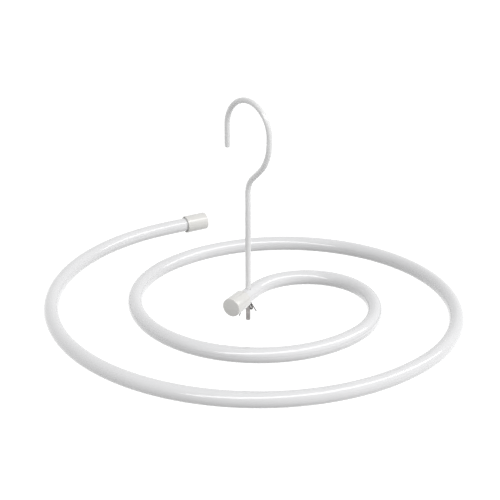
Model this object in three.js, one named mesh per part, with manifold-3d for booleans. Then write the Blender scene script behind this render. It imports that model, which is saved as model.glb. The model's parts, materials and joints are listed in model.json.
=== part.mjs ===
// Spiral drying rack: a coated tube bent flat into a spiral, hung from a swivelling wire hook.
// Millimetres, +Z up. The origin is where the rack hangs: inside the hook's crown, on the swivel axis.
import * as THREE from 'three';
import { mergeVertices } from 'three/addons/utils/BufferGeometryUtils.js';
import Module from 'manifold-3d';

// Clearances
const FIT_GAP = 0.3; // between pieces that touch on the real rack
const SWIVEL_CLEARANCE = 0.5; // round the hook's wire where it passes through the tube

// Tube section
const TUBE_RADIUS = 8; // outside of the white coat
const TUBE_COAT = 0.8; // thickness of the coat
const STEEL_WALL = 0.8; // wall of the steel tube

// Spiral, from the inner end outwards, winding clockwise seen from above
const INNER_HEADING = 60; // direction of the straight inner end, degrees from +X
const CAP_TO_AXIS = 12.3; // tube showing between the inner cap's rim and the swivel axis
const INNER_LEAD = 13.9; // straight tube past the swivel axis, up to the first bend
const INNER_BEND_RADIUS = 67.3;
const INNER_BEND_ANGLE = 132;
const LOOP_BEND_RADIUS = 94.7;
const LOOP_BEND_ANGLE = 59.2;
const FIRST_TURN_RADIUS = 132; // of each half turn from here on
const SECOND_TURN_RADIUS = 175;
const OUTER_TURN_RADIUS = 219.7;
const OUTER_OVERRUN = 19.5; // bend after the last half turn
const OUTER_STRAIGHT = 24.4; // straight tube showing before the outer cap

// End caps
const CAP_WALL = 2;
const INNER_CAP_LENGTH = 24;
const OUTER_CAP_LENGTH = 27;
const CAP_BASE = 2.2; // thickness of the closed end
const CAP_EDGE = 1.2; // rounding of the closed end's edge
const CAP_RIM = 0.4; // chamfer of the open rim

// Hook, in a vertical plane through the swivel axis
const HOOK_HEADING = -48; // side to which the hook bulges, degrees from +X
const WIRE_RADIUS = 2.45;
const HOOK_COAT = 0.25; // thickness of the coat on the wire
const SHANK_LENGTH = 118.6; // from the tube's centre line up to the neck
const NECK_RADIUS = 24.4;
const NECK_LEAN = 46.7; // lean of the wire between neck and bow, degrees from upright
const BOW_RADIUS = 47.9; // from the leaning wire back to upright
const BOW_RISE = 5.5; // upright stretch between bow and crown
const CROWN_RADIUS = 32.2;
const TIP_LENGTH = 22.8; // upright stretch after the crown
const WIRE_STUB = 29.3; // bare wire below the tube's centre line
const WIRE_CHAMFER = 0.6; // at the wire's lower end

// Split pin through the bare wire, under the tube
const PIN_HEADING = -58; // side of the eye, degrees from +X
const PIN_WIRE_RADIUS = 0.55;
const PIN_EYE_RADIUS = 2.7; // centre line of the eye
const PIN_NECK_RADIUS = 0.9; // where the eye draws in to the legs
const PIN_REACH = 0.9; // straight legs left behind the wire before they spread
const PIN_KNEE_RADIUS = 1; // of the bends sideways and down
const PIN_LAP = 10; // angle by which the two halves of the eye overlap where they join
const UPPER_LEG_REACH = 3.4; // level stretch behind the wire, before the leg turns down
const UPPER_LEG_LENGTH = 12;
const LOWER_LEG_REACH = 0.3;
const LOWER_LEG_LENGTH = 15;
const PIN_LEGS = [
  { side: 1, heading: 8, reach: UPPER_LEG_REACH, droop: 61, length: UPPER_LEG_LENGTH },
  { side: -1, heading: 178, reach: LOWER_LEG_REACH, droop: 67, length: LOWER_LEG_LENGTH },
];

// Facets
const BEND_STEP = 9; // degrees of bend per ring of the tube
const WIRE_STEP = 15; // degrees of bend per ring of the hook's wire
const PIN_STEP = 30; // degrees of bend per ring of the pin's wire
const COAT_SIDES = 16; // round the tube's coat
const STEEL_SIDES = 12; // round the steel tube and the coat's bore
const BORE_SIDES = 8; // round the steel tube's bore
const CAP_SIDES = 24;
const DRILL_SIDES = 16; // round the swivel hole
const WIRE_SIDES = 12; // round the hook's wire, its coat and the pin's hole
const TIP_RINGS = 8; // from pole to pole of the hook's rounded tip
const PIN_SIDES = 8;
const EDGE_STEPS = 2; // facets in a rounded edge

const MERGE_DISTANCE = 1e-4; // below which a geometry's corners are one

const FINISHES = {
  coat: { color: 0xf1f1f3, roughness: 0.2, metalness: 0 },
  hookCoat: { color: 0xf1f1f3, roughness: 0.3, metalness: 0 },
  cap: { color: 0xedebe8, roughness: 0.3, metalness: 0 },
  steel: { color: 0xa9a7a6, roughness: 0.35, metalness: 1 },
};
const UP = new THREE.Vector3(0, 0, 1);
const HALF_TURN = 180; // degrees

// Derived sizes
const steelRadius = TUBE_RADIUS - TUBE_COAT - FIT_GAP;
const swivelHoleRadius = WIRE_RADIUS + SWIVEL_CLEARANCE;
const capBoreRadius = TUBE_RADIUS + FIT_GAP;
const capRadius = capBoreRadius + CAP_WALL;
const innerSeat = INNER_CAP_LENGTH - CAP_BASE - FIT_GAP; // length of tube inside a cap
const outerSeat = OUTER_CAP_LENGTH - CAP_BASE - FIT_GAP;
const innerTail = CAP_TO_AXIS + innerSeat; // tube left behind the swivel axis
const outerTail = OUTER_STRAIGHT + outerSeat;
const hookCoatBore = WIRE_RADIUS + FIT_GAP;
const hookCoatRadius = hookCoatBore + HOOK_COAT;
const pinLegOffset = PIN_WIRE_RADIUS + FIT_GAP / 2;
const pinHoleRadius = pinLegOffset + PIN_WIRE_RADIUS + FIT_GAP;
const pinHeight = -(TUBE_RADIUS + FIT_GAP + PIN_EYE_RADIUS + PIN_WIRE_RADIUS);

const wasm = await Module();
wasm.setup();

// Horizontal direction at an angle from +X, in degrees.
function heading(degrees) {
  const angle = THREE.MathUtils.degToRad(degrees);
  return new THREE.Vector3(Math.cos(angle), Math.sin(angle), 0);
}

// A bent tube or wire: straight runs { length } and bends { radius, angle, axis }, each tangent to the last.
// An angle is positive by the right-hand rule about its axis. Rings are spread evenly over each bend.
class BentPath extends THREE.Curve {
  constructor(start, direction, runs, step) {
    super();
    this.spans = [];
    this.rings = 0;
    let point = start.clone();
    let along = direction.clone().normalize();
    for (const run of runs) {
      const rings = run.radius ? Math.ceil(Math.abs(run.angle) / step) : 1;
      const span = { ...run, point, along, rings, first: this.rings };
      this.spans.push(span);
      this.rings += rings;
      const end = this.evaluate(span, 1);
      point = end.point;
      along = end.along;
    }
    this.endPoint = point;
    this.endDirection = along;
  }

  // Point and direction at a share of one run.
  evaluate(span, share) {
    if (!span.radius) {
      const point = span.point.clone().addScaledVector(span.along, span.length * share);
      return { point, along: span.along.clone() };
    }
    const turn = THREE.MathUtils.degToRad(span.angle) * share;
    const inward = span.axis.clone().cross(span.along).multiplyScalar(span.radius * Math.sign(span.angle));
    const centre = span.point.clone().add(inward);
    const point = inward.clone().negate().applyAxisAngle(span.axis, turn).add(centre);
    return { point, along: span.along.clone().applyAxisAngle(span.axis, turn) };
  }

  locate(t) {
    const ring = t * this.rings;
    const span = this.spans.findLast((candidate) => candidate.first <= ring + 1e-9) ?? this.spans[0];
    return this.evaluate(span, Math.min(1, Math.max(0, (ring - span.first) / span.rings)));
  }

  getPoint(t, target = new THREE.Vector3()) {
    return target.copy(this.locate(t).point);
  }

  getPointAt(t, target) {
    return this.getPoint(t, target);
  }

  getTangent(t, target = new THREE.Vector3()) {
    return target.copy(this.locate(t).along);
  }

  getTangentAt(t, target) {
    return this.getTangent(t, target);
  }
}

function ringPoints(radius, sides) {
  const angles = Array.from({ length: sides }, (_, index) => (index / sides) * 2 * Math.PI);
  return angles.map((angle) => new THREE.Vector2(radius * Math.cos(angle), radius * Math.sin(angle)));
}

// Round section swept along a bent path, with an optional round bore.
function sweep(path, radius, sides, bore) {
  const section = new THREE.Shape(ringPoints(radius, sides));
  if (bore) section.holes.push(new THREE.Path(ringPoints(bore.radius, bore.sides)));
  return new THREE.ExtrudeGeometry(section, { steps: path.rings, bevelEnabled: false, extrudePath: path });
}

// Cylinder centred on a point, along a direction.
function rod(radius, length, centre, direction, sides, endRadius = radius) {
  const turn = new THREE.Quaternion().setFromUnitVectors(new THREE.Vector3(0, 1, 0), direction);
  const geometry = new THREE.CylinderGeometry(endRadius, radius, length, sides);
  return geometry.applyQuaternion(turn).translate(centre.x, centre.y, centre.z);
}

// Closed geometry to a solid for joining and cutting, and back.
function solid(geometry) {
  const bare = geometry.clone();
  bare.deleteAttribute('normal');
  bare.deleteAttribute('uv');
  const merged = mergeVertices(bare, MERGE_DISTANCE);
  const vertProperties = Float32Array.from(merged.attributes.position.array);
  const triVerts = Uint32Array.from(merged.index.array);
  return new wasm.Manifold(new wasm.Mesh({ numProp: 3, vertProperties, triVerts }));
}

function surface(body) {
  const { vertProperties, triVerts } = body.getMesh();
  const geometry = new THREE.BufferGeometry();
  geometry.setAttribute('position', new THREE.BufferAttribute(Float32Array.from(vertProperties), 3));
  geometry.setIndex(new THREE.BufferAttribute(Uint32Array.from(triVerts), 1));
  geometry.computeVertexNormals();
  return geometry;
}

function piece(name, geometry, finish) {
  const mesh = new THREE.Mesh(geometry, new THREE.MeshStandardMaterial(finish));
  mesh.name = name;
  return mesh;
}

// The spiral's centre line, level at z = 0 with the swivel axis at x = y = 0.
function spiralPath() {
  const along = heading(INNER_HEADING);
  const bend = (radius, angle) => ({ radius, angle: -angle, axis: UP });
  const runs = [
    { length: innerTail + INNER_LEAD },
    bend(INNER_BEND_RADIUS, INNER_BEND_ANGLE),
    bend(LOOP_BEND_RADIUS, LOOP_BEND_ANGLE),
    bend(FIRST_TURN_RADIUS, HALF_TURN),
    bend(SECOND_TURN_RADIUS, HALF_TURN),
    bend(OUTER_TURN_RADIUS, HALF_TURN + OUTER_OVERRUN),
    { length: outerTail },
  ];
  return new BentPath(along.clone().multiplyScalar(-innerTail), along, runs, BEND_STEP);
}

// One wall of the spiral, drilled through for the hook's wire.
function drilledTube(path, radius, sides, bore) {
  const drill = rod(swivelHoleRadius, 4 * TUBE_RADIUS, new THREE.Vector3(), UP, DRILL_SIDES);
  return surface(solid(sweep(path, radius, sides, bore)).subtract(solid(drill)));
}

// Push-on cap: a cup turned round +Y, open at y = 0 and closed at y = length.
function capGeometry(length) {
  const profile = new THREE.Path();
  profile.moveTo(0, length - CAP_BASE);
  profile.lineTo(capBoreRadius, length - CAP_BASE);
  profile.lineTo(capBoreRadius, 0);
  profile.lineTo(capRadius - CAP_RIM, 0);
  profile.lineTo(capRadius, CAP_RIM);
  profile.lineTo(capRadius, length - CAP_EDGE);
  profile.absarc(capRadius - CAP_EDGE, length - CAP_EDGE, CAP_EDGE, 0, Math.PI / 2);
  profile.lineTo(0, length);
  return new THREE.LatheGeometry(profile.getPoints(EDGE_STEPS), CAP_SIDES);
}

// A cap pushed over a tube end that points outwards along the given direction.
function endCap(name, tubeEnd, outward, length, seat) {
  const cap = piece(name, capGeometry(length), FINISHES.cap);
  cap.position.copy(tubeEnd).addScaledVector(outward, -seat);
  cap.quaternion.setFromUnitVectors(new THREE.Vector3(0, 1, 0), outward);
  return cap;
}

// The hook's bends above a starting height, up to the end of the straight tip.
function hookRuns(startHeight, tipLength) {
  const across = heading(HOOK_HEADING).cross(UP);
  const lean = THREE.MathUtils.degToRad(NECK_LEAN);
  const neckOffset = NECK_RADIUS * (1 - Math.cos(lean));
  const bowOffset = BOW_RADIUS * (1 - Math.cos(lean));
  const slant = (CROWN_RADIUS - neckOffset - bowOffset) / Math.sin(lean);
  return [
    { length: SHANK_LENGTH - startHeight },
    { radius: NECK_RADIUS, angle: -NECK_LEAN, axis: across },
    { length: slant },
    { radius: BOW_RADIUS, angle: NECK_LEAN, axis: across },
    { length: BOW_RISE },
    { radius: CROWN_RADIUS, angle: HALF_TURN, axis: across },
    { length: tipLength },
  ];
}

function hookPath(startHeight, tipLength) {
  return new BentPath(new THREE.Vector3(0, 0, startHeight), UP, hookRuns(startHeight, tipLength), WIRE_STEP);
}

// Height of the inside of the crown above the tube's centre line.
function seatHeight() {
  const crown = hookPath(0, 0);
  return crown.endPoint.z + CROWN_RADIUS - hookCoatRadius;
}

// Steel wire from its bare lower end to just short of the coated tip, drilled for the split pin.
function hookWireGeometry() {
  const bottom = -WIRE_STUB + WIRE_CHAMFER;
  const tipLength = TIP_LENGTH - HOOK_COAT - FIT_GAP;
  const chamferCentre = new THREE.Vector3(0, 0, bottom - WIRE_CHAMFER / 2);
  const wire = solid(sweep(hookPath(bottom, tipLength), WIRE_RADIUS, WIRE_SIDES));
  const endRadius = WIRE_RADIUS - WIRE_CHAMFER;
  const chamfer = solid(rod(endRadius, WIRE_CHAMFER, chamferCentre, UP, WIRE_SIDES, WIRE_RADIUS));
  const pinCentre = new THREE.Vector3(0, 0, pinHeight);
  const drill = solid(rod(pinHoleRadius, 4 * WIRE_RADIUS, pinCentre, heading(PIN_HEADING), WIRE_SIDES));
  return surface(wire.add(chamfer).subtract(drill));
}

// White coat from the top of the tube to the rounded tip, bored for the wire.
function hookCoatGeometry() {
  const bottom = TUBE_RADIUS + FIT_GAP;
  const outside = hookPath(bottom, TIP_LENGTH);
  const tip = new THREE.SphereGeometry(hookCoatRadius, WIRE_SIDES, TIP_RINGS);
  tip.translate(outside.endPoint.x, outside.endPoint.y, outside.endPoint.z);
  const bore = solid(sweep(hookPath(bottom - HOOK_COAT, TIP_LENGTH - HOOK_COAT), hookCoatBore, WIRE_SIDES));
  return surface(solid(sweep(outside, hookCoatRadius, WIRE_SIDES)).add(solid(tip)).subtract(bore));
}

// Half of the split pin: from the far side of the eye, along one leg through the wire, to the leg's end.
function pinHalf({ side, heading: legHeading, reach, droop, length }) {
  const eyeWard = heading(PIN_HEADING);
  const level = eyeWard.clone().cross(UP).multiplyScalar(side);
  const neckHeight = pinLegOffset + PIN_NECK_RADIUS;
  const centreGap = PIN_EYE_RADIUS + PIN_NECK_RADIUS;
  const neckToEye = Math.sqrt(centreGap ** 2 - neckHeight ** 2);
  const meet = THREE.MathUtils.radToDeg(Math.asin(neckHeight / centreGap));
  const neckStart = WIRE_RADIUS + FIT_GAP;
  const eyeCentre = eyeWard.clone().multiplyScalar(neckStart + neckToEye).setZ(pinHeight);
  const setBack = THREE.MathUtils.degToRad(-PIN_LAP);
  const start = eyeWard.clone().multiplyScalar(PIN_EYE_RADIUS).applyAxisAngle(level, setBack);
  const direction = UP.clone().multiplyScalar(side).applyAxisAngle(level, setBack);
  const behind = eyeWard.clone().negate();
  const sideways = heading(legHeading);
  const spreadAxis = behind.clone().cross(sideways).normalize();
  const spread = THREE.MathUtils.radToDeg(behind.angleTo(sideways));
  const droopAxis = UP.clone().cross(sideways);
  const runs = [
    { radius: PIN_EYE_RADIUS, angle: HALF_TURN - meet + PIN_LAP, axis: level },
    { radius: PIN_NECK_RADIUS, angle: meet - 90, axis: level },
    { length: neckStart + WIRE_RADIUS + PIN_REACH },
    { radius: PIN_KNEE_RADIUS, angle: spread, axis: spreadAxis },
    { length: reach },
    { radius: PIN_KNEE_RADIUS, angle: droop, axis: droopAxis },
    { length },
  ];
  return sweep(new BentPath(start.add(eyeCentre), direction, runs, PIN_STEP), PIN_WIRE_RADIUS, PIN_SIDES);
}

function splitPinGeometry() {
  const [upper, lower] = PIN_LEGS.map((leg) => solid(pinHalf(leg)));
  return surface(upper.add(lower));
}

const path = spiralPath();
const innerEnd = path.getPoint(0);
const outerEnd = path.endPoint;
const coatBore = { radius: TUBE_RADIUS - TUBE_COAT, sides: STEEL_SIDES };
const steelBore = { radius: steelRadius - STEEL_WALL, sides: BORE_SIDES };

const spiral = new THREE.Group();
spiral.add(
  piece('tube_coating', drilledTube(path, TUBE_RADIUS, COAT_SIDES, coatBore), FINISHES.coat),
  piece('spiral_tube', drilledTube(path, steelRadius, STEEL_SIDES, steelBore), FINISHES.steel),
  endCap('inner_end_cap', innerEnd, heading(INNER_HEADING).negate(), INNER_CAP_LENGTH, innerSeat),
  endCap('outer_end_cap', outerEnd, path.endDirection, OUTER_CAP_LENGTH, outerSeat),
);

const hook = new THREE.Group();
hook.add(
  piece('hook_wire', hookWireGeometry(), FINISHES.steel),
  piece('hook_coating', hookCoatGeometry(), FINISHES.hookCoat),
  piece('split_pin', splitPinGeometry(), FINISHES.steel),
);

const rack = new THREE.Group();
rack.position.z = -seatHeight();
rack.add(spiral, hook);

export default rack;
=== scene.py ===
"""Looks of a spiral drying rack: a white coated tube wound flat, hung from a wire hook."""
import json
from math import asin, cos, pi, radians, sin, sqrt
from typing import NamedTuple

import bmesh
import bpy
from bpy.props import FloatProperty, FloatVectorProperty, PointerProperty
from mathutils import Matrix, Quaternion, Vector


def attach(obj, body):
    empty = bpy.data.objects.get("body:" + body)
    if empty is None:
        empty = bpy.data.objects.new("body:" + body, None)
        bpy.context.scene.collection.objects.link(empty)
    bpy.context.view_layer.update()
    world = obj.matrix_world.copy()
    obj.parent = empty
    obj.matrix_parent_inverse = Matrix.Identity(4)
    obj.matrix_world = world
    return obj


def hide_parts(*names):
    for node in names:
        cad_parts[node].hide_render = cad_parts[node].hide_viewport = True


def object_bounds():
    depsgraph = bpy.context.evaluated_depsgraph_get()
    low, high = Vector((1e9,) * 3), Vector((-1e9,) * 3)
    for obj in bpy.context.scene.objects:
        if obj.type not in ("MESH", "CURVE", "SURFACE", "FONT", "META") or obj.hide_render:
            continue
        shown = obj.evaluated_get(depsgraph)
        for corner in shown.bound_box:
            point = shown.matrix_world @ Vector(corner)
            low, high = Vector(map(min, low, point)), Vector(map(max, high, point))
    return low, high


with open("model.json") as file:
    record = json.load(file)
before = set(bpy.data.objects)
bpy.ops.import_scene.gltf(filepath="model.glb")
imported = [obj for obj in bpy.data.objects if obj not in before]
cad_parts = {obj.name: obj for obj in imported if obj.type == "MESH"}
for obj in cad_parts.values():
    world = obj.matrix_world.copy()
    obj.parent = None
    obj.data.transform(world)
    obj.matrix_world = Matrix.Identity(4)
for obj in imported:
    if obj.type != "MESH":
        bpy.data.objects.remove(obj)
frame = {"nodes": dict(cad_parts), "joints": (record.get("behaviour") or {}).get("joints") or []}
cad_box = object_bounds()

bl_info = {
    "name": "Spiral Drying Rack",
    "version": (1, 0, 0),
    "blender": (4, 5, 0),
    "location": "3D View > Sidebar > Rack",
    "description": "Builds and finishes the pieces of a spiral drying rack",
    "category": "Object",
}

UP = Vector((0, 0, 1))
SWIVEL_LEVEL = frame["joints"][0]["pos_m"][2]  # the spiral's centre line

# Rings and sides of the swept and turned pieces
TUBE_SIDES = 48
TUBE_BEND_STEP = radians(3)
WIRE_SIDES = 32
WIRE_BEND_STEP = radians(5)
PIN_SIDES = 20
PIN_BEND_STEP = radians(12)
CAP_SIDES = 72
HOLE_SIDES = 40
ROUTE_SIDES = 3  # of a ring that only finds where the tube ends
FEWEST_STEPS = 2  # in a bend
DOUBLES = 1e-7  # corners closer than this are one
SHARP_ANGLE = radians(32)  # edges bent more than this stay crisp

# Edges too small to change
COAT_LIP = 0.00018  # rounding of the hook coat's lower edge
PIN_END_EDGE = 0.00018
TIP_ROUNDING = 0.97  # share of the hook's radius that its tip is rounded by
CAP_EDGE_SEGMENTS = 5
TIP_SEGMENTS = 10
FINE_EDGE_SEGMENTS = 2

# Holes and the caps' mouths
DRILL_REACH = 4  # length of a drill, in radii of the drilled piece
PIN_HOLE_PLAY = 1.5  # play round the pin in its hole, in gaps of the pin
MOUTH_DEPTH = 2  # depth of a cap's widened mouth, in flares

# Middle range of a noise texture
NOISE_LOW = 0.3
NOISE_HIGH = 0.7

# Stage
FLOOR_DROP = 0.9  # floor below the rack
FLOOR_SIZE = 60.0
FLOOR_SHADOW_TONE = 0.6  # part of the floor's white that shadows take away
FLOOR_GLOW = 0.75  # part of the floor's white that stays
IMAGE_SIZE = 500  # pixels
SENSOR_WIDTH = 36.0


def size(label, text, default):
    """A length that a user may change."""
    return FloatProperty(name=label, description=text, default=default, min=0.0, precision=5,
                         subtype="DISTANCE", unit="LENGTH")


def angle(label, text, degrees):
    """An angle that a user may change."""
    return FloatProperty(name=label, description=text, default=radians(degrees),
                         subtype="ANGLE", unit="ROTATION")


def colour(label, text, default):
    """A colour that a user may change."""
    return FloatVectorProperty(name=label, description=text, default=default, size=3,
                               min=0.0, max=1.0, subtype="COLOR")


class RackSpiralSizes(bpy.types.PropertyGroup):
    """Sizes of the coated tube and its bends, from the inner end outwards."""

    tube_radius: size("Tube radius", "Outside of the white coat", 0.008)
    coat: size("Coat", "Thickness of the white coat", 0.0008)
    hole: size("Swivel hole", "Radius of the hole for the hook's wire and its coat's foot", 0.0032)
    inner_heading: angle("Inner heading", "Direction of the straight inner end", 60)
    cap_to_axis: size("Cap to axis", "Tube between the inner cap and the swivel axis", 0.0123)
    inner_lead: size("Inner lead", "Straight tube past the swivel axis", 0.0139)
    inner_bend_radius: size("Inner bend radius", "First bend", 0.0673)
    inner_bend_angle: angle("Inner bend angle", "First bend", 132)
    loop_bend_radius: size("Loop bend radius", "Second bend", 0.0947)
    loop_bend_angle: angle("Loop bend angle", "Second bend", 59.2)
    first_turn_radius: size("First turn radius", "First half turn", 0.132)
    second_turn_radius: size("Second turn radius", "Second half turn", 0.175)
    outer_turn_radius: size("Outer turn radius", "Last half turn", 0.2197)
    overrun: angle("Overrun", "Bend after the last half turn", 19.5)
    outer_straight: size("Outer straight", "Straight tube before the outer cap", 0.0244)


class RackCapSizes(bpy.types.PropertyGroup):
    """Sizes of the push-on end caps."""

    gap: size("Gap", "Clearance between cap and tube", 0.0003)
    wall: size("Wall", "Wall round the tube", 0.002)
    inner_length: size("Inner length", "Whole length of the inner cap", 0.024)
    outer_length: size("Outer length", "Whole length of the outer cap", 0.027)
    base: size("Base", "Thickness of the closed end", 0.0022)
    edge: size("Edge", "Rounding of the closed end", 0.0012)
    rim: size("Rim", "Rounding of the open rim", 0.0004)
    flare: size("Flare", "Widening of the mouth", 0.0008)


class RackHookSizes(bpy.types.PropertyGroup):
    """Sizes of the hook's wire and coat."""

    heading: angle("Heading", "Side to which the hook bulges", -48)
    wire_radius: size("Wire radius", "Bare wire", 0.00245)
    gap: size("Gap", "Clearance between wire and coat", 0.0003)
    coat: size("Coat", "Thickness of the coat", 0.00025)
    foot: size("Foot", "Depth of the coat's foot in the tube's hole", 0.0009)
    shank: size("Shank", "From the tube's centre line to the neck", 0.1186)
    neck_radius: size("Neck radius", "Bend above the shank", 0.0244)
    lean: angle("Lean", "Lean of the wire above the neck", 46.7)
    bow_radius: size("Bow radius", "Bend back to upright", 0.0479)
    rise: size("Rise", "Upright stretch between bow and crown", 0.0055)
    crown_radius: size("Crown radius", "Bend over the top", 0.0322)
    tip: size("Tip", "Upright stretch after the crown", 0.0228)
    stub: size("Stub", "Bare wire below the tube's centre line", 0.0293)
    chamfer: size("Chamfer", "At the wire's lower end", 0.0006)


class RackPinSizes(bpy.types.PropertyGroup):
    """Sizes of the split pin."""

    heading: angle("Heading", "Side of the eye", -58)
    thickness: size("Thickness", "Height of the half-round wire", 0.001)
    gap: size("Gap", "Between the legs, and round them", 0.0003)
    eye_radius: size("Eye radius", "Centre line of the eye", 0.00275)
    neck_radius: size("Neck radius", "Where the eye draws in", 0.0009)
    reach: size("Reach", "Straight legs behind the wire", 0.0009)
    knee_radius: size("Knee radius", "Bends sideways and down", 0.001)
    upper_heading: angle("Upper heading", "Spread of the upper leg", 8)
    upper_reach: size("Upper reach", "Upper leg before it turns down", 0.0034)
    upper_droop: angle("Upper droop", "Fall of the upper leg", 61)
    upper_length: size("Upper length", "Upper leg after it turns down", 0.012)
    lower_heading: angle("Lower heading", "Spread of the lower leg", 178)
    lower_reach: size("Lower reach", "Lower leg before it turns down", 0.0003)
    lower_droop: angle("Lower droop", "Fall of the lower leg", 67)
    lower_length: size("Lower length", "Lower leg after it turns down", 0.015)


class RackColours(bpy.types.PropertyGroup):
    """Colours of the finishes."""

    tube_coat: colour("Tube coat", "Glossy coat of the tube", (0.88, 0.88, 0.89))
    hook_coat: colour("Hook coat", "Dipped coat of the hook", (0.93, 0.93, 0.93))
    cap: colour("Cap", "Moulded plastic", (0.85, 0.84, 0.81))
    wire: colour("Wire", "Bare drawn wire", (0.345, 0.325, 0.32))
    # The pin's colour is dark steel, made darker still as painted shade for its place under the
    # tube.
    pin: colour("Pin", "Dulled pin wire", (0.2, 0.195, 0.19))
    tube_steel: colour("Tube steel", "Steel under the coat", (0.58, 0.58, 0.58))


class RackStageSettings(bpy.types.PropertyGroup):
    """Camera, floor and light from all round."""

    focal: FloatProperty(name="Focal length", description="In pixels of the image", default=1308.3)
    back: size("Back", "Camera in front of the swivel axis", 1.2753)
    height: size("Height", "Camera above the spiral", 0.6101)
    pitch: angle("Pitch", "Camera looks down", 23.596)
    yaw: angle("Yaw", "Camera looks to the right", 0.093)
    ambient: FloatProperty(name="Ambient", description="Even light from all round", default=0.575)
    floor: colour("Floor", "Floor as it lights the rack", (0.21, 0.21, 0.21))


class PlasticLook(NamedTuple):
    """A white plastic close up. Texture scales are per metre."""

    top_roughness: float  # of its clear top layer
    roughness: tuple  # from the glossiest patch to the dullest
    patches: float
    clouds: float
    cloud_tone: float  # share of the colour that the clouds have
    grain: float
    grain_depth: float


class SteelLook(NamedTuple):
    """A drawn steel close up. Texture scales are per metre."""

    roughness: tuple  # from the glossiest line to the dullest
    lines: tuple  # along each axis


class Lamp(NamedTuple):
    """A soft panel that faces the swivel, and is seen either in shine or in shading."""

    place: Vector  # from the swivel, at the spiral's level
    width: float
    height: float
    radiance: float
    shine: bool


TUBE_COAT_LOOK = PlasticLook(top_roughness=0.12, roughness=(0.12, 0.17), patches=70.0, clouds=22.0,
                             cloud_tone=0.97, grain=420.0, grain_depth=0.0002)
HOOK_COAT_LOOK = TUBE_COAT_LOOK._replace(top_roughness=0.22, roughness=(0.22, 0.27))
CAP_LOOK = PlasticLook(top_roughness=0.08, roughness=(0.14, 0.22), patches=260.0, clouds=95.0,
                       cloud_tone=0.96, grain=900.0, grain_depth=0.0001)
PLASTIC_IOR = 1.5
PLASTIC_GRAIN = 0.02  # strength of its bump

TUBE_STEEL_LOOK = SteelLook(roughness=(0.28, 0.45), lines=(160, 160, 160))
WIRE_LOOK = SteelLook(roughness=(0.24, 0.4), lines=(2400, 2400, 60))
PIN_LOOK = SteelLook(roughness=(0.26, 0.44), lines=(900, 900, 900))
DULL_PATCHES = 240.0
DULL_TONE = 0.72  # share of the colour that the dull patches have
LINE_ROUGHNESS = 0.6  # how broken the drawn lines are
LINE_BUMP = 0.15
LINE_DEPTH = 0.0001

LAMPS = {
    "key_panel": Lamp(Vector((3.6, -1.75, 1.7)), width=3.4, height=2.9,
                      radiance=3.2, shine=False),
    "shine_strip": Lamp(Vector((0.6, -0.8, 1.5)), width=6.4, height=0.55,
                        radiance=3.4, shine=True),
    "front_fill": Lamp(Vector((-0.6, -0.75, 0.4)), width=0.6, height=0.3,
                       radiance=2.5, shine=False),
}


def heading(turn):
    """Level direction at an angle from +X."""
    return Vector((cos(turn), sin(turn), 0))


def facing(point, direction):
    """Matrix that puts a shape drawn round +Z at a point, along a direction."""
    return Matrix.Translation(point) @ UP.rotation_difference(direction).to_matrix().to_4x4()


def of_kind(items, kind):
    """The vertices or the edges among what an operator made."""
    return [item for item in items if isinstance(item, kind)]


class Sweep:
    """A ring of edges carried along straight runs and bends, leaving its skin behind it."""

    def __init__(self, mesh, ring, point, along):
        self.mesh = mesh
        self.ring = ring
        self.point = point.copy()
        self.along = along.normalized()

    def run(self, length):
        """Carry the ring straight on."""
        step = self.along * length
        made = bmesh.ops.extrude_edge_only(self.mesh, edges=self.ring)["geom"]
        bmesh.ops.translate(self.mesh, vec=step, verts=of_kind(made, bmesh.types.BMVert))
        self.ring = [edge for edge in of_kind(made, bmesh.types.BMEdge) if edge.is_boundary]
        self.point += step
        return self

    def bend(self, radius, turn, axis, step):
        """Carry the ring round a bend. A positive turn follows the right hand round the axis."""
        inward = axis.cross(self.along) * (radius if turn > 0 else -radius)
        centre = self.point + inward
        steps = max(FEWEST_STEPS, round(abs(turn) / step))
        made = bmesh.ops.spin(self.mesh, geom=self.ring, cent=centre, axis=axis, angle=turn,
                              steps=steps)
        self.ring = of_kind(made["geom_last"], bmesh.types.BMEdge)
        spin = Quaternion(axis, turn)
        self.point = centre + spin @ -inward
        self.along = spin @ self.along
        return self

    def close(self):
        """Close the skin's end, and give back the edges round it."""
        bmesh.ops.edgeloop_fill(self.mesh, edges=self.ring)
        return self.ring


def round_ring(mesh, radius, sides, point, along):
    """Ring of edges round a point, the first in a new mesh."""
    bmesh.ops.create_circle(mesh, segments=sides, radius=radius, matrix=facing(point, along))
    return mesh.edges[:]


def bevel(mesh, corners, offset, segments, affect="EDGES"):
    """Round edges, or the corners of an outline."""
    bmesh.ops.bevel(mesh, geom=corners, offset=offset, segments=segments, affect=affect,
                    profile=0.5, material=-1)


def turn_outwards(mesh):
    """Close seams and poles, and point the faces outwards."""
    bmesh.ops.remove_doubles(mesh, verts=mesh.verts, dist=DOUBLES)
    bmesh.ops.recalc_face_normals(mesh, faces=mesh.faces)


def as_piece(name, mesh):
    """Object from a finished bmesh, with its place in its mesh."""
    data = bpy.data.meshes.new(name)
    mesh.to_mesh(data)
    mesh.free()
    piece = bpy.data.objects.new(name, data)
    bpy.context.scene.collection.objects.link(piece)
    return piece


def drill(piece, radius, centre, direction, length):
    """Cut a round hole through a piece."""
    mesh = bmesh.new()
    bmesh.ops.create_cone(mesh, cap_ends=True, segments=HOLE_SIDES, radius1=radius, radius2=radius,
                          depth=length, matrix=facing(centre, direction))
    cutter = as_piece("drill", mesh)
    cut = piece.modifiers.new("hole", "BOOLEAN")
    cut.operation = "DIFFERENCE"
    cut.solver = "EXACT"
    cut.object = cutter
    graph = bpy.context.evaluated_depsgraph_get()
    whole = piece.data
    piece.data = bpy.data.meshes.new_from_object(piece.evaluated_get(graph))
    piece.modifiers.clear()
    bpy.data.meshes.remove(whole)
    bpy.data.meshes.remove(cutter.data)


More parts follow.
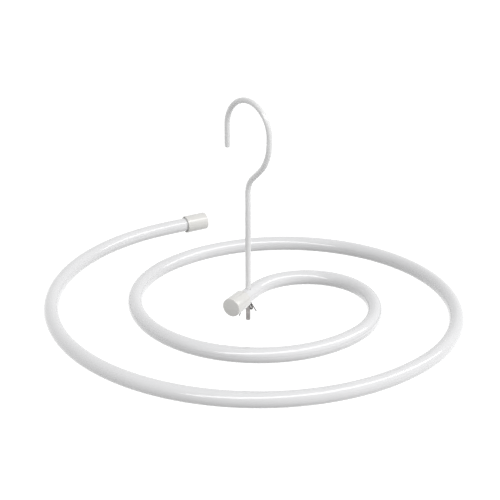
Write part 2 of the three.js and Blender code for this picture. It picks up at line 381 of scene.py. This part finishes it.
def finish_piece(piece, material, body, node):
    """Shade, finish and mount a piece that stands for a node."""
    piece.data.shade_smooth()
    piece.data.set_sharp_from_angle(angle=SHARP_ANGLE)
    piece.data.materials.clear()
    piece.data.materials.append(material)
    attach(piece, body)
    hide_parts(node)


# Materials

class Finish:
    """A material with one glossy shader, and textures on Object coordinates."""

    def __init__(self, name, **sockets):
        self.material = bpy.data.materials.new(name)
        self.material.use_nodes = True
        self.nodes = self.material.node_tree.nodes
        self.links = self.material.node_tree.links
        self.shader = next(node for node in self.nodes if node.type == "BSDF_PRINCIPLED")
        self.place = self.nodes.new("ShaderNodeTexCoord")
        for socket, value in sockets.items():
            self.shader.inputs[socket.replace("_", " ")].default_value = value

    def stretched(self, scale):
        """Object coordinates scaled along each axis."""
        mapping = self.nodes.new("ShaderNodeMapping")
        mapping.inputs["Scale"].default_value = scale
        self.links.new(self.place.outputs["Object"], mapping.inputs["Vector"])
        return mapping.outputs["Vector"]

    def noise(self, scale, detail, roughness=0.5, vector=None):
        """Noise texture, per metre."""
        noise = self.nodes.new("ShaderNodeTexNoise")
        noise.inputs["Scale"].default_value = scale
        noise.inputs["Detail"].default_value = detail
        noise.inputs["Roughness"].default_value = roughness
        self.links.new(vector or self.place.outputs["Object"], noise.inputs["Vector"])
        return noise.outputs["Fac"]

    def spread(self, value, low, high):
        """A texture's middle range brought between two numbers."""
        spread = self.nodes.new("ShaderNodeMapRange")
        spread.inputs["From Min"].default_value = NOISE_LOW
        spread.inputs["From Max"].default_value = NOISE_HIGH
        spread.inputs["To Min"].default_value = low
        spread.inputs["To Max"].default_value = high
        self.links.new(value, spread.inputs["Value"])
        return spread.outputs["Result"]

    def tint(self, value, first, second):
        """Colour that goes from one tone to another with a texture."""
        mix = self.nodes.new("ShaderNodeMix")
        mix.data_type = "RGBA"
        self.links.new(value, mix.inputs["Factor"])
        mix.inputs["A"].default_value = (*first, 1)
        mix.inputs["B"].default_value = (*second, 1)
        return mix.outputs["Result"]

    def bump(self, value, strength, distance):
        """Fine relief from a texture."""
        bump = self.nodes.new("ShaderNodeBump")
        bump.inputs["Strength"].default_value = strength
        bump.inputs["Distance"].default_value = distance
        self.links.new(value, bump.inputs["Height"])
        self.links.new(bump.outputs["Normal"], self.shader.inputs["Normal"])

    def set(self, socket, value):
        """Drive one of the shader's sockets by a texture."""
        self.links.new(value, self.shader.inputs[socket])


def toned(tone, factor):
    """A colour made lighter or darker."""
    return [channel * factor for channel in tone]


def plastic_finish(name, tone, look):
    """Glossy white plastic: faint clouding, a fine grain and an uneven shine."""
    finish = Finish(name, IOR=PLASTIC_IOR, Coat_Weight=1.0, Coat_Roughness=look.top_roughness,
                    Coat_IOR=PLASTIC_IOR)
    cloud = finish.spread(finish.noise(look.clouds, detail=3.0), 0.0, 1.0)
    finish.set("Base Color", finish.tint(cloud, tone, toned(tone, look.cloud_tone)))
    patches = finish.noise(look.patches, detail=2.0)
    finish.set("Roughness", finish.spread(patches, *look.roughness))
    finish.bump(finish.noise(look.grain, detail=1.0), PLASTIC_GRAIN, look.grain_depth)
    return finish.material


def steel_finish(name, tone, look):
    """Drawn steel: fine lines along the wire, dulled in patches."""
    finish = Finish(name, Metallic=1.0)
    lines = finish.noise(1.0, detail=3.0, roughness=LINE_ROUGHNESS,
                         vector=finish.stretched(look.lines))
    dull = finish.spread(finish.noise(DULL_PATCHES, detail=3.0), 0.0, 1.0)
    finish.set("Base Color", finish.tint(dull, tone, toned(tone, DULL_TONE)))
    finish.set("Roughness", finish.spread(lines, *look.roughness))
    finish.bump(lines, LINE_BUMP, LINE_DEPTH)
    return finish.material


# Pieces

def cap_seat(caps, length):
    """Length of tube inside a cap."""
    return length - caps.base - caps.gap


def sweep_spiral(mesh, ring, sizes, caps, start, along):
    """Carry a ring along the whole spiral."""
    sweep = Sweep(mesh, ring, start, along)
    sweep.run(cap_seat(caps, caps.inner_length) + sizes.cap_to_axis + sizes.inner_lead)
    sweep.bend(sizes.inner_bend_radius, -sizes.inner_bend_angle, UP, TUBE_BEND_STEP)
    sweep.bend(sizes.loop_bend_radius, -sizes.loop_bend_angle, UP, TUBE_BEND_STEP)
    sweep.bend(sizes.first_turn_radius, -pi, UP, TUBE_BEND_STEP)
    sweep.bend(sizes.second_turn_radius, -pi, UP, TUBE_BEND_STEP)
    sweep.bend(sizes.outer_turn_radius, -pi - sizes.overrun, UP, TUBE_BEND_STEP)
    return sweep.run(sizes.outer_straight + cap_seat(caps, caps.outer_length))


def spiral_start(sizes, caps):
    """Inner end of the tube, and its direction."""
    along = heading(sizes.inner_heading)
    tail = cap_seat(caps, caps.inner_length) + sizes.cap_to_axis
    return UP * SWIVEL_LEVEL - along * tail, along


class RACK_OT_tube_coat(bpy.types.Operator):
    """Builds the white coat of the spiral tube"""

    bl_idname = "rack.tube_coat"
    bl_label = "Tube coat"

    def execute(self, context):
        sizes, caps = context.scene.rack_spiral, context.scene.rack_caps
        tone = context.scene.rack_colours.tube_coat
        start, along = spiral_start(sizes, caps)
        mesh = bmesh.new()
        ring = round_ring(mesh, sizes.tube_radius, TUBE_SIDES, start, along)
        sweep_spiral(mesh, ring, sizes, caps, start, along)
        turn_outwards(mesh)
        bmesh.ops.solidify(mesh, geom=mesh.faces[:], thickness=sizes.coat)
        piece = as_piece("white_tube_coat", mesh)
        drill(piece, sizes.hole, UP * SWIVEL_LEVEL, UP, DRILL_REACH * sizes.tube_radius)
        material = plastic_finish("glossy_white_coat", tone, TUBE_COAT_LOOK)
        finish_piece(piece, material, "spiral", "tube_coating")
        return {"FINISHED"}


class RACK_OT_tube_steel(bpy.types.Operator):
    """Finishes the steel tube under the coat"""

    bl_idname = "rack.tube_steel"
    bl_label = "Tube steel"

    def execute(self, context):
        tone = context.scene.rack_colours.tube_steel
        material = steel_finish("plain_tube_steel", tone, TUBE_STEEL_LOOK)
        data = frame["nodes"]["spiral_tube"].data
        data.materials.clear()
        data.materials.append(material)
        return {"FINISHED"}


def cap_mesh(sizes, length, tube_radius):
    """Cup turned round +Z, open at the origin: its half section is rounded, then spun."""
    bore = tube_radius + sizes.gap
    outside = bore + sizes.wall
    floor = length - sizes.base
    corners = ((0, floor), (bore, floor), (bore, MOUTH_DEPTH * sizes.flare),
               (bore + sizes.flare, 0), (outside, 0), (outside, length), (0, length))
    mesh = bmesh.new()
    verts = [mesh.verts.new((across, 0, along)) for across, along in corners]
    for first, second in zip(verts, verts[1:]):
        mesh.edges.new((first, second))
    rim, end = verts[4], verts[5]
    for vert, rounding in ((rim, sizes.rim), (end, sizes.edge)):
        bevel(mesh, [vert], rounding, CAP_EDGE_SEGMENTS, "VERTICES")
    bmesh.ops.spin(mesh, geom=mesh.verts[:] + mesh.edges[:], cent=(0, 0, 0), axis=UP, angle=2 * pi,
                   steps=CAP_SIDES, use_merge=True)
    turn_outwards(mesh)
    return mesh


class RACK_OT_end_caps(bpy.types.Operator):
    """Builds the two push-on end caps"""

    bl_idname = "rack.end_caps"
    bl_label = "End caps"

    def execute(self, context):
        sizes, caps = context.scene.rack_spiral, context.scene.rack_caps
        start, along = spiral_start(sizes, caps)
        route = bmesh.new()
        ring = round_ring(route, sizes.tube_radius, ROUTE_SIDES, start, along)
        end = sweep_spiral(route, ring, sizes, caps, start, along)
        route.free()
        material = plastic_finish("moulded_cap_plastic", context.scene.rack_colours.cap, CAP_LOOK)
        for name, length, point, outward in (("inner", caps.inner_length, start, -along),
                                             ("outer", caps.outer_length, end.point, end.along)):
            mesh = cap_mesh(caps, length, sizes.tube_radius)
            mouth = point - outward * cap_seat(caps, length)
            bmesh.ops.transform(mesh, matrix=facing(mouth, outward), verts=mesh.verts)
            piece = as_piece(name + "_cap", mesh)
            finish_piece(piece, material, "spiral", name + "_end_cap")
        return {"FINISHED"}


def sweep_hook(sweep, sizes, tip):
    """Carry a ring from the shank up through the neck, bow and crown to the tip."""
    across = heading(sizes.heading).cross(UP)
    bends_offset = (sizes.neck_radius + sizes.bow_radius) * (1 - cos(sizes.lean))
    slant = (sizes.crown_radius - bends_offset) / sin(sizes.lean)
    sweep.run(SWIVEL_LEVEL + sizes.shank - sweep.point.z)
    sweep.bend(sizes.neck_radius, -sizes.lean, across, WIRE_BEND_STEP)
    sweep.run(slant)
    sweep.bend(sizes.bow_radius, sizes.lean, across, WIRE_BEND_STEP)
    sweep.run(sizes.rise)
    sweep.bend(sizes.crown_radius, pi, across, WIRE_BEND_STEP)
    return sweep.run(tip)


def pin_level(sizes, tube_radius):
    """Height of the pin's legs: the eye sits just under the tube."""
    return SWIVEL_LEVEL - tube_radius - sizes.gap - sizes.eye_radius - sizes.thickness / 2


class RACK_OT_hook_wire(bpy.types.Operator):
    """Builds the hook's steel wire"""

    bl_idname = "rack.hook_wire"
    bl_label = "Hook wire"

    def execute(self, context):
        sizes, pin = context.scene.rack_hook, context.scene.rack_pin
        tone = context.scene.rack_colours.wire
        start = UP * (SWIVEL_LEVEL - sizes.stub)
        mesh = bmesh.new()
        ring = round_ring(mesh, sizes.wire_radius, WIRE_SIDES, start, UP)
        sweep_hook(Sweep(mesh, ring, start, UP), sizes, sizes.tip - sizes.coat - sizes.gap).close()
        bmesh.ops.edgeloop_fill(mesh, edges=ring)
        bevel(mesh, ring, sizes.chamfer, FINE_EDGE_SEGMENTS)
        turn_outwards(mesh)
        piece = as_piece("hook_bare_wire", mesh)
        centre = UP * pin_level(pin, context.scene.rack_spiral.tube_radius)
        hole = pin.thickness + PIN_HOLE_PLAY * pin.gap
        drill(piece, hole, centre, heading(pin.heading), DRILL_REACH * sizes.wire_radius)
        material = steel_finish("drawn_wire_steel", tone, WIRE_LOOK)
        finish_piece(piece, material, "hook", "hook_wire")
        return {"FINISHED"}


class RACK_OT_hook_coat(bpy.types.Operator):
    """Builds the hook's white coat"""

    bl_idname = "rack.hook_coat"
    bl_label = "Hook coat"

    def execute(self, context):
        sizes, tone = context.scene.rack_hook, context.scene.rack_colours.hook_coat
        radius = sizes.wire_radius + sizes.gap + sizes.coat
        start = UP * (SWIVEL_LEVEL + context.scene.rack_spiral.tube_radius - sizes.foot)
        mesh = bmesh.new()
        ring = round_ring(mesh, radius, WIRE_SIDES, start, UP)
        tip = sweep_hook(Sweep(mesh, ring, start, UP), sizes, sizes.tip + radius).close()
        bevel(mesh, tip, radius * TIP_ROUNDING, TIP_SEGMENTS)
        turn_outwards(mesh)
        bmesh.ops.solidify(mesh, geom=mesh.faces[:], thickness=sizes.coat)
        bevel(mesh, ring, COAT_LIP, FINE_EDGE_SEGMENTS)
        piece = as_piece("hook_white_coat", mesh)
        material = plastic_finish("dipped_hook_coat", tone, HOOK_COAT_LOOK)
        finish_piece(piece, material, "hook", "hook_coating")
        return {"FINISHED"}


def half_round_ring(mesh, thickness, point, along, outward):
    """Edges round a half-round wire, with its flat side turned from the outward direction."""
    flat = point - outward * (thickness / 2)
    bmesh.ops.create_circle(mesh, cap_ends=True, segments=PIN_SIDES, radius=thickness,
                            matrix=facing(flat, along))
    bmesh.ops.bisect_plane(mesh, geom=mesh.verts[:] + mesh.edges[:] + mesh.faces[:], plane_co=flat,
                           plane_no=outward, clear_inner=True)
    bmesh.ops.delete(mesh, geom=mesh.faces[:], context="FACES_ONLY")
    return mesh.edges[:]


def sweep_pin_half(sweep, sizes, wire_radius, side, turn, reach, droop, length):
    """Carry the pin's section from the far side of the eye, through the wire, along one leg."""
    eye_ward = heading(sizes.heading)
    level = eye_ward.cross(UP) * side
    offset = (sizes.thickness + sizes.gap) / 2
    meet = asin((offset + sizes.neck_radius) / (sizes.eye_radius + sizes.neck_radius))
    behind, sideways = -eye_ward, heading(turn)
    sweep.bend(sizes.eye_radius, pi - meet, level, PIN_BEND_STEP)
    sweep.bend(sizes.neck_radius, meet - pi / 2, level, PIN_BEND_STEP)
    sweep.run(2 * wire_radius + sizes.gap + sizes.reach)
    upright = behind.cross(sideways).normalized()
    sweep.bend(sizes.knee_radius, behind.angle(sideways), upright, PIN_BEND_STEP)
    sweep.run(reach)
    sweep.bend(sizes.knee_radius, droop, UP.cross(sideways), PIN_BEND_STEP)
    sweep.run(length)
    bevel(sweep.mesh, sweep.close(), PIN_END_EDGE, FINE_EDGE_SEGMENTS)


class RACK_OT_split_pin(bpy.types.Operator):
    """Builds the split pin under the tube"""

    bl_idname = "rack.split_pin"
    bl_label = "Split pin"

    def execute(self, context):
        sizes, wire_radius = context.scene.rack_pin, context.scene.rack_hook.wire_radius
        eye_ward = heading(sizes.heading)
        rise = (sizes.thickness + sizes.gap) / 2 + sizes.neck_radius
        neck_to_eye = sqrt((sizes.eye_radius + sizes.neck_radius) ** 2 - rise ** 2)
        centre = eye_ward * (wire_radius + sizes.gap + neck_to_eye)
        centre.z = pin_level(sizes, context.scene.rack_spiral.tube_radius)
        start = centre + eye_ward * sizes.eye_radius
        mesh = bmesh.new()
        ring = half_round_ring(mesh, sizes.thickness, start, UP, eye_ward)
        legs = ((1, sizes.upper_heading, sizes.upper_reach, sizes.upper_droop, sizes.upper_length),
                (-1, sizes.lower_heading, sizes.lower_reach, sizes.lower_droop, sizes.lower_length))
        for side, *leg in legs:
            sweep_pin_half(Sweep(mesh, ring, start, UP * side), sizes, wire_radius, side, *leg)
        turn_outwards(mesh)
        piece = as_piece("split_pin_wire", mesh)
        # Pin steel: dark steel, with painted shade from the tube above darkening its colour.
        material = steel_finish("pin_steel_with_painted_shade", context.scene.rack_colours.pin, PIN_LOOK)
        finish_piece(piece, material, "hook", "split_pin")
        return {"FINISHED"}


# Stage

def seen_ray(nodes, links):
    """1 for rays that show the background: from the camera, off gloss and through glass."""
    path = nodes.new("ShaderNodeLightPath")
    seen = path.outputs["Is Camera Ray"]
    for kind in ("Is Glossy Ray", "Is Transmission Ray"):
        either = nodes.new("ShaderNodeMath")
        either.operation = "MAXIMUM"
        links.new(seen, either.inputs[0])
        links.new(path.outputs[kind], either.inputs[1])
        seen = either.outputs["Value"]
    return seen


def floor_material(tone):
    """Floor that shows white with the object's shadow, and lights the object as a pale grey one."""
    material = bpy.data.materials.new("pale_floor")
    material.use_nodes = True
    nodes, links = material.node_tree.nodes, material.node_tree.links
    nodes.clear()
    output = nodes.new("ShaderNodeOutputMaterial")
    pick = nodes.new("ShaderNodeMixShader")
    grey = nodes.new("ShaderNodeBsdfDiffuse")
    grey.inputs["Color"].default_value = (*tone, 1)
    shadowed = nodes.new("ShaderNodeBsdfDiffuse")
    shadowed.inputs["Color"].default_value = (*[FLOOR_SHADOW_TONE] * 3, 1)
    glow = nodes.new("ShaderNodeEmission")
    glow.inputs["Strength"].default_value = FLOOR_GLOW
    white = nodes.new("ShaderNodeAddShader")
    links.new(shadowed.outputs["BSDF"], white.inputs[0])
    links.new(glow.outputs["Emission"], white.inputs[1])
    links.new(seen_ray(nodes, links), pick.inputs["Fac"])
    links.new(grey.outputs["BSDF"], pick.inputs[1])
    links.new(white.outputs["Shader"], pick.inputs[2])
    links.new(pick.outputs["Shader"], output.inputs["Surface"])
    return material


def light_world(scene, ambient):
    """White background, and an even light from all round."""
    scene.world = bpy.data.worlds.new("studio")
    scene.world.use_nodes = True
    nodes, links = scene.world.node_tree.nodes, scene.world.node_tree.links
    shade = next(node for node in nodes if node.type == "BACKGROUND")
    level = nodes.new("ShaderNodeMapRange")
    level.inputs["To Min"].default_value = ambient
    level.inputs["To Max"].default_value = 1.0
    shade.inputs["Color"].default_value = (1, 1, 1, 1)
    links.new(seen_ray(nodes, links), level.inputs["Value"])
    links.new(level.outputs["Result"], shade.inputs["Strength"])


def add_lamp(scene, name, lamp):
    """Put a lamp in its place and turn it to the swivel."""
    light = bpy.data.lights.new(name, "AREA")
    light.shape = "RECTANGLE"
    light.size = lamp.width
    light.size_y = lamp.height
    light.energy = lamp.radiance * pi * lamp.width * lamp.height
    panel = bpy.data.objects.new(name, light)
    panel.location = UP * SWIVEL_LEVEL + lamp.place
    panel.rotation_euler = lamp.place.to_track_quat("Z", "Y").to_euler()
    panel.visible_camera = False
    panel.visible_diffuse = not lamp.shine
    panel.visible_glossy = lamp.shine
    scene.collection.objects.link(panel)


def add_camera(scene, settings):
    """Camera in front of the rack, looking down at it."""
    camera = bpy.data.cameras.new("camera")
    camera.sensor_width = SENSOR_WIDTH
    camera.lens = settings.focal / IMAGE_SIZE * SENSOR_WIDTH
    camera.clip_end = 2 * FLOOR_SIZE
    viewer = bpy.data.objects.new("camera", camera)
    viewer.location = (0, -settings.back, SWIVEL_LEVEL + settings.height)
    viewer.rotation_euler = (pi / 2 - settings.pitch, 0, -settings.yaw)
    scene.collection.objects.link(viewer)
    scene.camera = viewer


class RACK_OT_stage(bpy.types.Operator):
    """Sets up the floor, the lamps, the world and the camera"""

    bl_idname = "rack.stage"
    bl_label = "Stage"

    def execute(self, context):
        scene, settings = context.scene, context.scene.rack_stage
        mesh = bmesh.new()
        level = Matrix.Translation(UP * (cad_box[0].z - FLOOR_DROP))
        bmesh.ops.create_grid(mesh, x_segments=1, y_segments=1, size=FLOOR_SIZE / 2, matrix=level)
        floor = as_piece("floor", mesh)
        floor.data.materials.append(floor_material(settings.floor))
        light_world(scene, settings.ambient)
        for name, lamp in LAMPS.items():
            add_lamp(scene, name, lamp)
        add_camera(scene, settings)
        scene.view_settings.view_transform = "Standard"
        return {"FINISHED"}


class RACK_PT_panel(bpy.types.Panel):
    """Lists the rack's pieces and its stage"""

    bl_label = "Spiral Drying Rack"
    bl_idname = "RACK_PT_panel"
    bl_space_type = "VIEW_3D"
    bl_region_type = "UI"
    bl_category = "Rack"

    def draw(self, context):
        for operator in OPERATORS:
            self.layout.operator(operator.bl_idname)
        for group in GROUPS:
            settings = getattr(context.scene, group)
            for name in settings.__annotations__:
                self.layout.prop(settings, name)


GROUPS = {
    "rack_spiral": RackSpiralSizes,
    "rack_caps": RackCapSizes,
    "rack_hook": RackHookSizes,
    "rack_pin": RackPinSizes,
    "rack_colours": RackColours,
    "rack_stage": RackStageSettings,
}
OPERATORS = (RACK_OT_tube_coat, RACK_OT_tube_steel, RACK_OT_end_caps, RACK_OT_hook_wire,
             RACK_OT_hook_coat, RACK_OT_split_pin, RACK_OT_stage)
CLASSES = (*GROUPS.values(), *OPERATORS, RACK_PT_panel)


def register():
    for item in CLASSES:
        bpy.utils.register_class(item)
    for name, group in GROUPS.items():
        setattr(bpy.types.Scene, name, PointerProperty(type=group))


def unregister():
    for name in GROUPS:
        delattr(bpy.types.Scene, name)
    for item in reversed(CLASSES):
        bpy.utils.unregister_class(item)


def main():
    register()
    bpy.ops.rack.tube_coat()
    bpy.ops.rack.tube_steel()
    bpy.ops.rack.end_caps()
    bpy.ops.rack.hook_wire()
    bpy.ops.rack.hook_coat()
    bpy.ops.rack.split_pin()
    bpy.ops.rack.stage()


if __name__ == "__main__":
    main()
